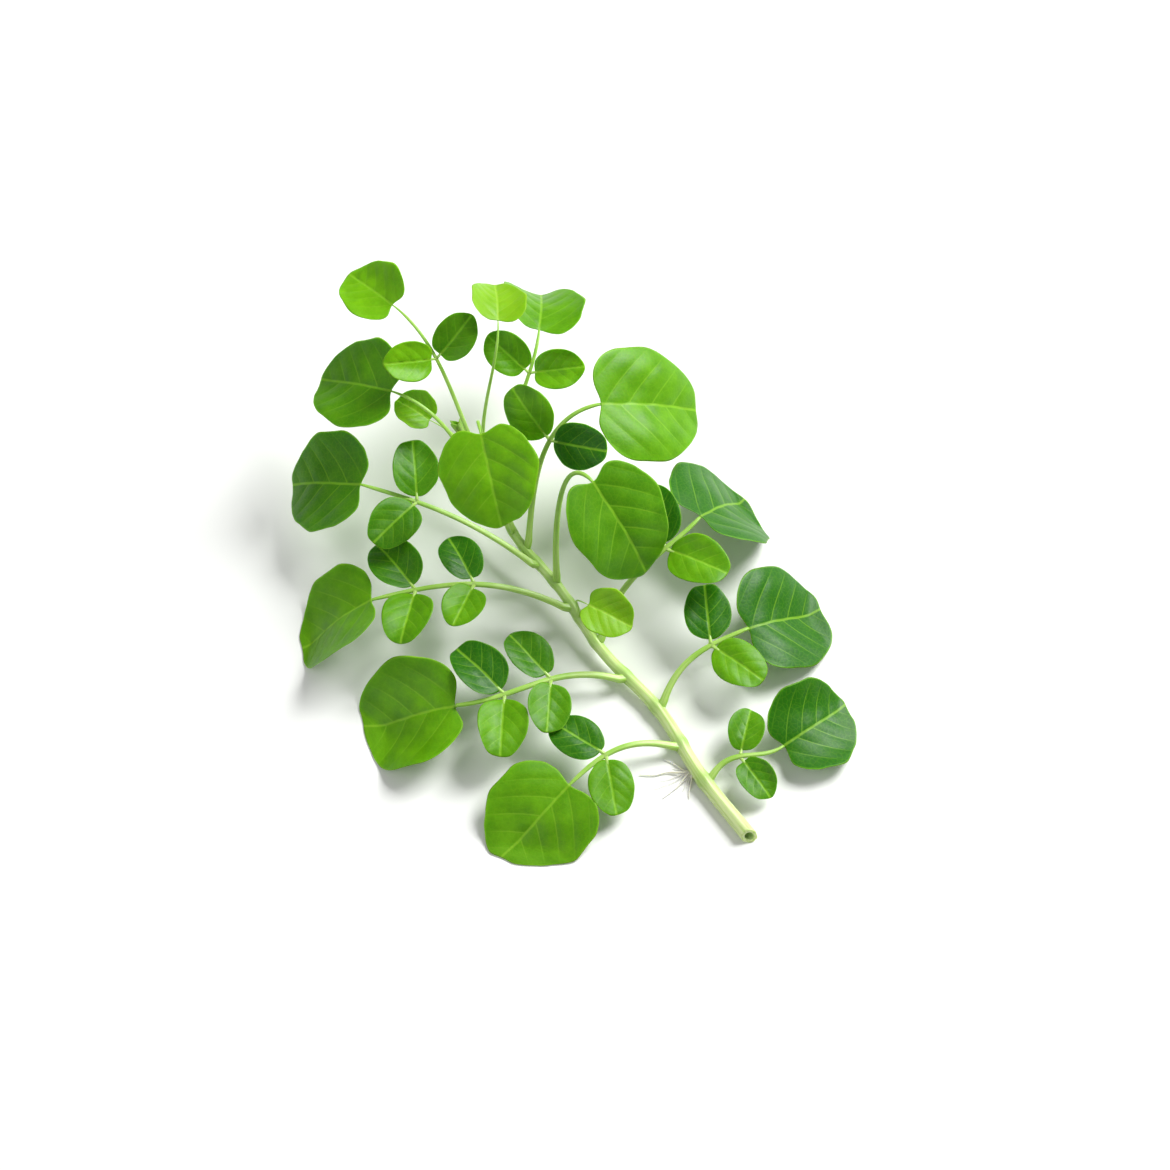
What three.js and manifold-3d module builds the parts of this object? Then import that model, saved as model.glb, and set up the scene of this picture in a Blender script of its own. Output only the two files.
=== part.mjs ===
// One cut sprig of watercress, lying on a flat surface as it does when it is set down.
//
// A hollow main stem runs from its slanting cut end to a growing tip. Pinnate leaves leave it one by one,
// alternately left and right, each with a stalk (its rachis), pairs of side leaflets and a larger, rounder
// end leaflet. The lower leaves lie against the surface and steady the sprig, and the upper ones stand
// clear of it.
//
// Millimetres, +Z up from the surface. The cut end lies towards +X -Y and the growing tip towards -X +Y.

import * as THREE from "three";
import { mergeVertices } from "three/addons/utils/BufferGeometryUtils.js";
import Module from "manifold-3d";

const { degToRad } = THREE.MathUtils;
const UP = new THREE.Vector3(0, 0, 1);

// ---------------------------------------------------------------------------------------------- dimensions

// Puts the middle of the sprig's footprint on the origin.
const ORIGIN_SHIFT = new THREE.Vector3(-13.6, -9, 0);

// The stem's centreline: flat on the surface at first, then rising to the tip.
const STEM_ROUTE = [
  [58, -60, 1.9],
  [46, -43, 1.9],
  [36, -25, 2.1],
  [22, -9, 3.6],
  [11, 8, 6.0],
  [0, 21, 9.5],
  [-7, 35, 14.0],
  [-13, 44, 20.0],
];
const STEM_RADIUS = { cut: 1.9, tip: 0.9 };
const STEM_SIDES = 10;
const STEM_STEPS = 32;
const BORE = { radius: 1.0, depth: 9 }; // the stem is hollow, and the bore shows at the cut
const CUT_SLANT = degToRad(32); // its cut face looks a little up

const STALK_SIDES = 6;
const STALK_STEPS = 12;
const STALK_TAPER = 0.6; // a rachis's radius where it ends, as a share of where it starts
const GAP = 0.3; // between a rachis or the bud and the stem that it grows from
const END_STALK = 0.5; // how far an end leaflet stands off its rachis
const SIDE_STALK = 0.9; // how far a side leaflet stands off its rachis
const SPREAD = degToRad(66); // a side leaflet's angle to its rachis
const START_REACH = 0.4; // how long a rachis keeps its first direction, as a share of its span
const END_REACH = 0.35; // and its last one
const FOOT_ALONG = 0.55; // how far a rachis first follows the stem, against where it is going
const FOOT_RISE = 0.3; // and how far it first rises
const FOOT_LEAN = 0.8; // clearance for a leaning foot, as a share of the rachis's radius

const BLADE_THICKNESS = 0.6;
const BLADE_SEGMENTS = 20; // round the edge
const BLADE_RINGS = 6; // from the middle of the upper face to the middle of the lower one
const FLOOR_EASE = 1.2; // how softly a blade flattens where it meets the surface

const END_BLADE = { ovate: 0.26, notch: 0.1, lobing: 0.019, lobes: 7, wave: 0.028 };
const SIDE_BLADE = { ovate: 0.12, notch: 0.02, lobing: 0.015, lobes: 5, wave: 0.02 };
const YOUNG_LENGTH = 16; // an end leaflet up to this long is a young one
const SIDE_WIDTH = 0.78; // a side leaflet's width as a share of its length
const SIDE_BEND = 22;
const SIDE_FOLD = 0.2;

// The leaves, from the cut end to the growing tip. at is the share of the stem's length where the leaf
// joins, to is where its rachis ends, size is the end leaflet's length and width, and each pair of side
// leaflets has its share of the rachis and its length. radius is the rachis's at its foot, and turn swings
// its end to the left. nod dips the end leaflet and roll turns the leaf about its rachis. bend, fold, cup
// and twist shape the blades, and lift raises the side leaflets. Angles are in degrees.
const LEAVES = [
  { at: 0.15, to: [66, -36, 4.5], size: [24, 23], pairs: [[0.42, 11.5]], radius: 0.85,
    turn: 14, nod: 2, roll: 14, bend: 24, fold: 0.2, cup: 0.1, twist: 8, lift: 6 },
  { at: 0.24, to: [14, -47, 6], size: [28, 27], pairs: [[0.6, 14.5]], radius: 0.95,
    turn: 22, nod: 8, roll: -10, bend: 30, fold: 0.18, cup: -0.12, twist: -10, lift: 6 },
  { at: 0.33, to: [58, -6, 10], size: [29, 28], pairs: [[0.64, 15]], radius: 0.95,
    turn: -12, nod: 14, roll: 10, bend: 38, fold: 0.24, cup: -0.12, twist: 6, lift: 10 },
  { at: 0.42, to: [-14, -27, 9], size: [30, 28], pairs: [[0.42, 14], [0.71, 16]], radius: 0.95,
    turn: -10, nod: 14, roll: -8, bend: 34, fold: 0.2, cup: 0.12, twist: -8, lift: 12 },
  { at: 0.51, to: [46, 21, 18], size: [32, 30], pairs: [[0.7, 16.5]], radius: 0.95,
    turn: 4, nod: 28, roll: 6, bend: 40, fold: 0.2, cup: -0.06, twist: 8, lift: 14 },
  { at: 0.57, to: [18, -3, 17], size: [13.5, 12], pairs: [], radius: 0.5,
    turn: 30, nod: 0, roll: 16, bend: 20, fold: 0.3, cup: 0.1, twist: 0, lift: 0 },
  { at: 0.6, to: [-35, 0, 14], size: [28, 27], pairs: [[0.48, 13.5], [0.78, 16]], radius: 0.9,
    turn: 12, nod: 26, roll: 10, bend: 34, fold: 0.2, cup: 0.12, twist: 12, lift: 12 },
  { at: 0.66, to: [19, 20, 38], size: [32, 26], pairs: [], radius: 0.9,
    turn: -96, nod: 30, roll: 6, bend: 46, fold: 0.3, cup: -0.14, twist: -8, lift: 20 },
  { at: 0.71, to: [-38, 29, 21], size: [27, 26], pairs: [[0.7, 15]], radius: 0.85,
    turn: 0, nod: 20, roll: -18, bend: 32, fold: 0.2, cup: 0.08, twist: -8, lift: 14 },
  { at: 0.75, to: [21, 42, 38], size: [34, 30], pairs: [[0.64, 15]], radius: 0.85,
    turn: -38, nod: 16, roll: 16, bend: 36, fold: 0.2, cup: -0.1, twist: 8, lift: 16 },
  { at: 0.79, to: [-8, 30, 44], size: [26, 24], pairs: [], radius: 0.7,
    turn: 150, nod: 22, roll: 8, bend: 34, fold: 0.24, cup: -0.14, twist: 8, lift: 16 },
  { at: 0.83, to: [-30, 47, 36], size: [26, 24], pairs: [], radius: 0.7,
    turn: 14, nod: 12, roll: -20, bend: 28, fold: 0.2, cup: 0.08, twist: 8, lift: 18 },
  { at: 0.87, to: [6, 66, 36], size: [23, 21], pairs: [[0.72, 13]], radius: 0.7,
    turn: 14, nod: 16, roll: 14, bend: 26, fold: 0.26, cup: 0.14, twist: -12, lift: 16 },
  { at: 0.91, to: [-30, 66, 46], size: [19, 16], pairs: [[0.66, 13]], radius: 0.65,
    turn: 10, nod: 4, roll: -18, bend: 20, fold: 0.28, cup: 0.12, twist: 8, lift: 20 },
  { at: 0.94, to: [-4, 60, 48], size: [16, 14], pairs: [], radius: 0.55,
    turn: 16, nod: 6, roll: 10, bend: 22, fold: 0.32, cup: 0.1, twist: 8, lift: 22 },
  { at: 0.97, to: [-21, 43, 29], size: [11, 10], pairs: [], radius: 0.45,
    turn: -20, nod: -14, roll: -10, bend: 10, fold: 0.42, cup: 0.1, twist: 0, lift: 26 },
];

const BUD = { radius: 1.5, length: 5.5, segments: 8 };

// Rootlets grow at the lowest node: the tuft's place on the stem, its heading, and how its rootlets fan.
const ROOT_RADIUS = 0.3;
const ROOT_HEIGHT = 1.2; // where the rootlets leave the stem
const ROOT_SIDES = 5;
const ROOT_STEPS = 8;
const ROOT_TUFT = { at: 0.18, heading: 205, fan: [-44, -12, 20, 50], lengths: [8, 13, 10, 7] };

// ---------------------------------------------------------------------------------------------- materials

const finish = (color, roughness) => new THREE.MeshStandardMaterial({ color, roughness, metalness: 0 });
const MATERIALS = {
  stem: finish(0xa9c968, 0.5),
  stalk: finish(0x8cbb45, 0.5),
  endBlade: finish(0x5a9c14, 0.45),
  sideBlade: finish(0x67a81f, 0.45),
  youngBlade: finish(0x8fc63a, 0.45),
  root: finish(0xdfe3c4, 0.6),
};

// ---------------------------------------------------------------------------------------------- solids

const wasm = await Module();
wasm.setup();

/** A closed geometry as a manifold solid. */
function toSolid(geometry) {
  const bare = geometry.index ? geometry.toNonIndexed() : geometry.clone();
  bare.deleteAttribute("normal");
  bare.deleteAttribute("uv");
  const merged = mergeVertices(bare, 1e-3);
  return new wasm.Manifold(
    new wasm.Mesh({
      numProp: 3,
      vertProperties: merged.attributes.position.array,
      triVerts: new Uint32Array(merged.index.array),
    }),
  );
}

/** A manifold solid as a geometry with flat faces. */
function toGeometry(solid) {
  const { vertProperties, triVerts } = solid.getMesh();
  const geometry = new THREE.BufferGeometry();
  geometry.setAttribute("position", new THREE.BufferAttribute(vertProperties, 3));
  geometry.setIndex(new THREE.BufferAttribute(triVerts, 1));
  geometry.computeVertexNormals();
  return geometry;
}

/** A round tube along a curve, whose radius runs evenly from startRadius to endRadius. */
function tube(curve, startRadius, endRadius, sides, steps) {
  const section = new THREE.Shape().absarc(0, 0, startRadius, 0, 2 * Math.PI);
  const settings = { extrudePath: curve, steps, curveSegments: sides / 2 };
  const geometry = new THREE.ExtrudeGeometry(section, settings);
  const stations = curve.getSpacedPoints(steps);
  const place = geometry.getAttribute("position");
  const point = new THREE.Vector3();
  for (let i = 0; i < place.count; i++) {
    point.fromBufferAttribute(place, i);
    const distances = stations.map((station) => station.distanceTo(point));
    const nearest = distances.indexOf(Math.min(...distances));
    const share = nearest / steps;
    const scale = THREE.MathUtils.lerp(1, endRadius / startRadius, share);
    point.lerpVectors(stations[nearest], point, scale);
    place.setXYZ(i, point.x, point.y, point.z);
  }
  return geometry;
}

/** A named mesh at a place in its group. */
function piece(name, geometry, material, position = new THREE.Vector3()) {
  const mesh = new THREE.Mesh(geometry, material);
  mesh.name = name;
  mesh.position.copy(position);
  return mesh;
}

// ---------------------------------------------------------------------------------------------- stem

const stemPoints = STEM_ROUTE.map((point) => new THREE.Vector3(...point));
const stemCurve = new THREE.CatmullRomCurve3(stemPoints, false, "centripetal");

/** The stem's radius at a share of its length. */
const stemRadius = (share) => THREE.MathUtils.lerp(STEM_RADIUS.cut, STEM_RADIUS.tip, share);

/** The hollow main stem, with its lower end cut on a slant and its bore open there. */
function mainStem() {
  const whole = toSolid(tube(stemCurve, STEM_RADIUS.cut, STEM_RADIUS.tip, STEM_SIDES, STEM_STEPS));
  const start = stemCurve.getPointAt(0);
  const along = stemCurve.getTangentAt(0);
  const blockSize = 6 * STEM_RADIUS.cut;

  const upright = new THREE.Quaternion().setFromUnitVectors(UP, along);
  const bore = new THREE.CylinderGeometry(BORE.radius, BORE.radius, 2 * BORE.depth, STEM_SIDES);
  bore.rotateX(Math.PI / 2).applyQuaternion(upright).translate(start.x, start.y, start.z);

  const slant = new THREE.Quaternion().setFromAxisAngle(new THREE.Vector3(-1, 0, 0), CUT_SLANT);
  const slanted = upright.clone().multiply(slant);
  const waste = new THREE.BoxGeometry(blockSize, blockSize, blockSize).translate(0, 0, -blockSize / 2);
  const edge = start.clone().addScaledVector(along, STEM_RADIUS.cut * Math.tan(CUT_SLANT));
  waste.applyQuaternion(slanted).translate(edge.x, edge.y, edge.z);

  const hollow = whole.subtract(toSolid(bore)).subtract(toSolid(waste));
  return piece("main_stem", toGeometry(hollow), MATERIALS.stem);
}

/** The closed bud at the growing tip: a pointed egg on the stem's end. */
function growingTip() {
  const profile = [new THREE.Vector2(0, 0)];
  for (const share of [0.12, 0.35, 0.6, 0.85]) {
    const radius = BUD.radius * Math.sin(Math.PI * share ** 0.7);
    profile.push(new THREE.Vector2(radius, BUD.length * share));
  }
  profile.push(new THREE.Vector2(0, BUD.length));
  const geometry = new THREE.LatheGeometry(profile, BUD.segments).rotateX(Math.PI / 2);
  const along = stemCurve.getTangentAt(1);
  const bud = piece("growing_tip", geometry, MATERIALS.youngBlade);
  bud.quaternion.setFromUnitVectors(UP, along);
  bud.position.copy(stemCurve.getPointAt(1)).addScaledVector(along, GAP);
  return bud;
}

/** The tuft of rootlets that spreads over the surface from the stem's lowest node. */
function rootTuft({ at, heading, fan, lengths }) {
  const centre = stemCurve.getPointAt(at);
  const toward = (degrees) => new THREE.Vector3(1, 0, 0).applyAxisAngle(UP, degToRad(degrees));
  const start = centre.clone().addScaledVector(toward(heading), stemRadius(at) + GAP + ROOT_RADIUS);
  start.setZ(ROOT_HEIGHT);
  const rootlets = fan.map((turn, i) => {
    const onSurface = (degrees, distance) =>
      start.clone().addScaledVector(toward(degrees), distance).setZ(ROOT_RADIUS);
    const end = onSurface(heading + turn, lengths[i]);
    const middle = onSurface(heading + turn / 3, lengths[i] / 2);
    const route = new THREE.QuadraticBezierCurve3(start, middle, end);
    return toSolid(tube(route, ROOT_RADIUS, ROOT_RADIUS / 2, ROOT_SIDES, ROOT_STEPS));
  });
  const joined = rootlets.reduce((tuft, rootlet) => tuft.add(rootlet));
  return piece("rootlets", toGeometry(joined), MATERIALS.root);
}

// ---------------------------------------------------------------------------------------------- blades

/**
 * A point of a leaf blade's middle surface, and the normal there, in the blade's own frame: the stalk
 * joins at the origin, +X runs to the tip, +Y to the left and +Z out of the upper face. p and q are a point
 * of the unit disc, p towards the tip and q to the left.
 */
function bladePoint({ size: [length, width], form, fold, cup, bend, twist }, p, q) {
  const reach = Math.hypot(p, q);
  const around = Math.atan2(q, p);
  const waver = Math.cos(form.lobes * around + length) + 0.6 * Math.cos(3 * around + 2 * length);
  const lobe = 1 + form.lobing * reach ** 2 * waver;
  const share = (1 + p * lobe) / 2;
  const notch = Math.exp(-((q / 0.3) ** 2)) * Math.max(0, 1 - share / 0.4) ** 2;
  const u = share + form.notch * (notch - 1);
  const v = q * lobe * (1 + form.ovate * (0.5 - share));
  const rise = (width / 2) * (fold * (Math.hypot(v, 0.2) - 0.2) + cup * v * v);
  const ripple = form.wave * length * reach ** 3 * Math.sin(2 * around + length);
  const turn = degToRad(twist) * u;
  const y = (width / 2) * v;
  const z = rise + ripple;
  const side = y * Math.cos(turn) - z * Math.sin(turn);
  const out = y * Math.sin(turn) + z * Math.cos(turn);
  const curl = degToRad(bend);
  const normal = new THREE.Vector3(Math.sin(curl * u), 0, Math.cos(curl * u));
  const spine = new THREE.Vector3(Math.sin(curl * u) / curl, 0, (Math.cos(curl * u) - 1) / curl);
  const point = spine.multiplyScalar(length).addScaledVector(normal, out);
  point.y += side;
  return { point, normal };
}

/** Eases a height so that it never goes under the surface's level. */
function easeAbove(height, level) {
  const over = height - level;
  return level + (over + Math.hypot(over, FLOOR_EASE)) / 2;
}

/**
 * A leaf blade's mesh. It is a ball flattened to a thin lens, so that it is closed and its edge is fine,
 * with its stalk end at base, its tip along heading and its upper face towards face. It flattens where it
 * meets the surface.
 */
function bladeMesh(name, shape, material, group, base, heading, face) {
  const left = new THREE.Vector3().crossVectors(face, heading).normalize();
  const out = new THREE.Vector3().crossVectors(heading, left);
  const mesh = piece(name, undefined, material, base.clone().sub(group.position));
  mesh.quaternion.setFromRotationMatrix(new THREE.Matrix4().makeBasis(heading, left, out));
  group.add(mesh);
  group.updateMatrixWorld(true);

  const geometry = new THREE.SphereGeometry(1, BLADE_SEGMENTS, BLADE_RINGS).rotateX(Math.PI / 2);
  const place = geometry.getAttribute("position");
  for (let i = 0; i < place.count; i++) {
    const { point, normal } = bladePoint(shape, place.getX(i), place.getY(i));
    const depth = (BLADE_THICKNESS / 2) * Math.sign(place.getZ(i)) * Math.abs(place.getZ(i)) ** 0.5;
    point.addScaledVector(normal, Math.abs(place.getZ(i)) < 1e-6 ? 0 : depth);
    mesh.localToWorld(point);
    point.z = easeAbove(point.z, BLADE_THICKNESS / 2 + depth);
    mesh.worldToLocal(point);
    place.setXYZ(i, point.x, point.y, point.z);
  }
  geometry.computeVertexNormals();
  mesh.geometry = geometry;
  return mesh;
}

/** A unit vector square to direction, as near to straight up as it can be, then rolled about direction. */
function faceOf(direction, rollDegrees) {
  return UP.clone().projectOnPlane(direction).normalize().applyAxisAngle(direction, degToRad(rollDegrees));
}

// ---------------------------------------------------------------------------------------------- leaves

/** The rachis's centreline: it leaves the stem partly along it, and arrives at its end level. */
function rachisCurve({ at, to, radius, turn }) {
  const foot = stemCurve.getPointAt(at);
  const end = new THREE.Vector3(...to);
  const span = foot.distanceTo(end);
  const toward = end.clone().sub(foot).normalize();
  const along = stemCurve.getTangentAt(at);
  const first = toward.clone().addScaledVector(along, FOOT_ALONG).addScaledVector(UP, FOOT_RISE).normalize();
  const last = toward.clone().setZ(0).normalize().applyAxisAngle(UP, degToRad(turn));
  const clear = first.clone().projectOnPlane(along).normalize();
  const start = foot.clone().addScaledVector(clear, stemRadius(at) + GAP + radius * FOOT_LEAN);
  return new THREE.CubicBezierCurve3(
    start,
    start.clone().addScaledVector(first, START_REACH * span),
    end.clone().addScaledVector(last, -END_REACH * span),
    end,
  );
}

/** One pinnate leaf in a group at its rachis's foot: the rachis, the end leaflet and the side leaflets. */
function leaf(spec, number) {
  const group = new THREE.Group();
  const curve = rachisCurve(spec);
  const endRadius = spec.radius * STALK_TAPER;
  group.position.copy(curve.getPointAt(0));
  const rachis = tube(curve, spec.radius, endRadius, STALK_SIDES, STALK_STEPS);
  rachis.translate(-group.position.x, -group.position.y, -group.position.z);
  group.add(piece(`leaf_${number}_rachis`, rachis, MATERIALS.stalk));

  const young = spec.size[0] <= YOUNG_LENGTH;
  const heading = curve.getTangentAt(1);
  const level = new THREE.Vector3().crossVectors(faceOf(heading, 0), heading);
  heading.applyAxisAngle(level, degToRad(spec.nod));
  const base = curve.getPointAt(1).addScaledVector(heading, END_STALK);
  const endShape = { ...spec, form: END_BLADE };
  const endMaterial = young ? MATERIALS.youngBlade : MATERIALS.endBlade;
  const endName = `leaf_${number}_end_leaflet`;
  bladeMesh(endName, endShape, endMaterial, group, base, heading, faceOf(heading, spec.roll));

  spec.pairs.forEach(([share, length], pair) => {
    const along = curve.getTangentAt(share);
    const face = faceOf(along, spec.roll / 2);
    const left = new THREE.Vector3().crossVectors(face, along);
    const radius = THREE.MathUtils.lerp(spec.radius, endRadius, share);
    for (const [side, sign] of [["left", 1], ["right", -1]]) {
      const shape = {
        size: [length, length * SIDE_WIDTH],
        form: SIDE_BLADE,
        fold: SIDE_FOLD,
        cup: spec.cup,
        bend: SIDE_BEND,
        twist: sign * spec.twist,
      };
      const outward = along.clone().multiplyScalar(Math.cos(SPREAD));
      outward.addScaledVector(left, sign * Math.sin(SPREAD));
      const lift = degToRad(spec.lift);
      outward.multiplyScalar(Math.cos(lift)).addScaledVector(face, Math.sin(lift));
      const foot = curve.getPointAt(share).addScaledVector(outward, radius + SIDE_STALK);
      const upper = face.clone().projectOnPlane(outward).normalize();
      const name = `leaf_${number}_${side}_leaflet_${pair + 1}`;
      bladeMesh(name, shape, MATERIALS.sideBlade, group, foot, outward, upper);
    }
  });
  return group;
}

// ---------------------------------------------------------------------------------------------- sprig

const sprig = new THREE.Group();
sprig.add(mainStem(), growingTip(), rootTuft(ROOT_TUFT));
LEAVES.forEach((spec, i) => sprig.add(leaf(spec, i + 1)));
sprig.position.copy(ORIGIN_SHIFT);

const part = new THREE.Group();
part.name = "watercress_sprig";
part.add(sprig);

export default part;
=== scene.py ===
"""One cut sprig of watercress, lying on a pale surface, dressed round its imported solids.

Lengths in the tables are millimetres, in the frame that the solids were drawn in. They become metres, and
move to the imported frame, where a mesh is made.
"""

import logging
from dataclasses import dataclass, field
from enum import Enum
from functools import partial
from math import cos, pi, radians, sin, tan
from typing import Callable

import bmesh
import bpy
import numpy as np
from bpy.types import Material, Node, NodeSocket, NodeTree, Object
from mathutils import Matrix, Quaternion, Vector


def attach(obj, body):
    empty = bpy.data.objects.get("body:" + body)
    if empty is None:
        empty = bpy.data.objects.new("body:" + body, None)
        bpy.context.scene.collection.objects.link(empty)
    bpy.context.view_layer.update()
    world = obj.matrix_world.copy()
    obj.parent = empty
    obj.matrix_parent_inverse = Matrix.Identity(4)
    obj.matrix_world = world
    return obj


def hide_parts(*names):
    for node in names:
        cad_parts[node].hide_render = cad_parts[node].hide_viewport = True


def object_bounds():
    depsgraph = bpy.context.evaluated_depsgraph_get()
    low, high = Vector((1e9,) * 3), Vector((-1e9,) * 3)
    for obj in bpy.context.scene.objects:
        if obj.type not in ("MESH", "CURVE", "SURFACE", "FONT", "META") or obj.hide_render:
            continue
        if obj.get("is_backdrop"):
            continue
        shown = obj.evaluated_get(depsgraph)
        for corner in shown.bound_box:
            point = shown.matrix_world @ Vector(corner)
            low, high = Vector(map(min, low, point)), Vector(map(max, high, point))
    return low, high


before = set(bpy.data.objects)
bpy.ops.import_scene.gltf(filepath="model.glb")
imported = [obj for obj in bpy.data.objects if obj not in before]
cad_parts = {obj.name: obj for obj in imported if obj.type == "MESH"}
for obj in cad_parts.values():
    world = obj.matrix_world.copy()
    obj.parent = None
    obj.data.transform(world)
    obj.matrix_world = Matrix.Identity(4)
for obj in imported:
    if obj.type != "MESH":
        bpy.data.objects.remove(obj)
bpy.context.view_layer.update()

LOG = logging.getLogger("sprig")

MM = 0.001
UP = np.array([0.0, 0.0, 1.0])
SHIFT = np.array([-13.6, -9.0, 0.0])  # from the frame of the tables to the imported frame, in millimetres
FLOOR_EASE = 1.2  # how softly a blade flattens where it meets the surface, in millimetres
WELD = 1e-6  # how near two vertices are when they are welded, in metres
SLIVER = 1e-7  # the shortest edge that is kept, in metres
NET_EDGE = 1e-6  # how near a place is to a net's edge when it is on it

Array = np.ndarray
Inputs = dict[int | str, object]


# ---------- geometry helpers


def unit(vector: Array) -> Array:
    """Returns the vector, or each row of an array of vectors, at length one."""
    return vector / np.linalg.norm(vector, axis=-1, keepdims=True)


def square_to(vector: Array, axis: Array) -> Array:
    """Returns the unit part of a vector that is square to a unit axis."""
    return unit(vector - np.sum(vector * axis, axis=-1, keepdims=True) * axis)


def turned(vector: Array, axis: Array, degrees: float) -> Array:
    """Returns a vector turned about a unit axis, by the right-hand rule."""
    angle = radians(degrees)
    across = np.cross(axis, vector)
    along = axis * np.dot(axis, vector)
    return vector * cos(angle) + across * sin(angle) + along * (1 - cos(angle))


def face_of(direction: Array, roll: float = 0.0) -> Array:
    """Returns the unit vector square to a direction and nearest to straight up, rolled about it."""
    return turned(square_to(UP, direction), direction, roll)


def bump(distance: Array, width: float) -> Array:
    """Returns a smooth bell, one at distance nought and falling off over the width."""
    return np.exp(-((distance / width) ** 2))


def ease_above(height: Array, level: Array | float) -> Array:
    """Returns heights in millimetres, eased so that they never go under a level."""
    over = height - level
    return level + (over + np.hypot(over, FLOOR_EASE)) / 2


@dataclass(frozen=True)
class Route:
    """A smooth path through space, looked up by the share of its length."""

    points: Array  # finely spaced points along it, in millimetres
    reached: Array  # the share of the length reached at each point

    NEAR = 0.004  # how far either way its direction is measured over, as a share of its length

    @classmethod
    def through(cls, points: Array) -> "Route":
        """Makes a route from finely spaced points."""
        steps = np.linalg.norm(np.diff(points, axis=0), axis=1)
        reached = np.concatenate([[0.0], np.cumsum(steps)])
        return cls(points, reached / reached[-1])

    @classmethod
    def spline(cls, knots: list[tuple[float, float, float]], fineness: int = 60) -> "Route":
        """Makes a centripetal Catmull-Rom route through knots, with so many steps between each two."""
        inner = np.array(knots, float)
        ends = np.vstack([2 * inner[0] - inner[1], inner, 2 * inner[-1] - inner[-2]])
        steps = np.linalg.norm(np.diff(ends, axis=0), axis=1) ** 0.5
        shares = np.linspace(0, 1, fineness, endpoint=False)[:, None]
        spans = []
        for i in range(1, len(ends) - 2):
            before, start, end, after = ends[i - 1 : i + 3]
            lead, step, trail = steps[i - 1 : i + 2]
            leave = (start - before) / lead - (end - before) / (lead + step) + (end - start) / step
            arrive = (end - start) / step - (after - start) / (step + trail) + (after - end) / trail
            leave, arrive = leave * step, arrive * step
            square = -3 * start + 3 * end - 2 * leave - arrive
            cube = 2 * start - 2 * end + leave + arrive
            spans.append(start + leave * shares + square * shares**2 + cube * shares**3)
        return cls.through(np.vstack([*spans, ends[-2:-1]]))

    @classmethod
    def bezier(cls, start: Array, leave: Array, arrive: Array, end: Array, fineness: int = 160) -> "Route":
        """Makes a cubic Bezier route from its four control points."""
        t = np.linspace(0, 1, fineness + 1)[:, None]
        s = 1 - t
        return cls.through(start * s**3 + 3 * leave * t * s**2 + 3 * arrive * t**2 * s + end * t**3)

    @property
    def length(self) -> float:
        """The route's length in millimetres."""
        return float(np.sum(np.linalg.norm(np.diff(self.points, axis=0), axis=1)))

    def at(self, share: Array | float) -> Array:
        """Returns the point, or points, at a share of the length."""
        return np.stack([np.interp(share, self.reached, self.points[:, i]) for i in range(3)], axis=-1)

    def along(self, share: Array | float) -> Array:
        """Returns the unit direction, or directions, of travel at a share of the length."""
        return unit(self.at(np.minimum(share + self.NEAR, 1)) - self.at(np.maximum(share - self.NEAR, 0)))


Field = dict[str, Array]  # named attributes of a mesh's vertices: one number or one vector each
Placed = tuple[Array, Field]  # points in millimetres, and their attributes


@dataclass(frozen=True)
class Patch:
    """A rectangular net of faces that is bent into part of a piece."""

    columns: int  # faces along the first direction
    rows: int  # faces along the second direction
    shape: Callable[[Array, Array], Placed]  # takes both directions' places, from -1 to 1
    material: int = 0  # the number of the material slot that its faces use
    flip: bool = False  # turns the faces over


def make_piece(name: str, patches: list[Patch], materials: list[Material]) -> Object:
    """Makes one closed, smooth piece from nets of faces, welded where their edges and poles meet.

    The piece is in place, with its origin at the world's, unturned and unscaled.
    """
    mesh = bmesh.new()
    values: dict[str, list[Array]] = {}
    for patch in patches:
        grid = bmesh.ops.create_grid(mesh, x_segments=patch.columns, y_segments=patch.rows, size=1.0)
        made = grid["verts"]
        flat = np.array([vert.co for vert in made])
        points, fields = patch.shape(flat[:, 0], flat[:, 1])
        for vert, point in zip(made, (points + SHIFT) * MM):
            vert.co = point
        faces = {face for vert in made for face in vert.link_faces}
        for face in faces:
            face.material_index = patch.material
            face.smooth = True
        if patch.flip:
            bmesh.ops.reverse_faces(mesh, faces=list(faces))
        for key, value in fields.items():
            values.setdefault(key, []).append(value)
    for key, parts in values.items():
        value = np.concatenate(parts)
        layers = mesh.verts.layers
        layer = (layers.float_vector if value.ndim > 1 else layers.float).new(key)
        for vert, entry in zip(mesh.verts, value):
            vert[layer] = entry
    bmesh.ops.remove_doubles(mesh, verts=mesh.verts, dist=WELD)
    bmesh.ops.dissolve_degenerate(mesh, edges=mesh.edges, dist=SLIVER)

    data = bpy.data.meshes.new(name)
    mesh.to_mesh(data)
    mesh.free()
    for material in materials:
        data.materials.append(material)
    piece = bpy.data.objects.new(name, data)
    bpy.context.scene.collection.objects.link(piece)
    return piece


def hand_over(piece: Object, node: str) -> None:
    """Puts a finished piece in place of its solid, which it hides."""
    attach(piece, "root")
    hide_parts(node)
    LOG.info("%s stands for %s: %d faces", piece.name, node, len(piece.data.polygons))


def tapering(radius: float, loss: float) -> Callable[[Array], Array]:
    """Returns a function for a radius that loses a share of itself along a route."""
    return lambda share: radius * (1 - loss * share)


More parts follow.
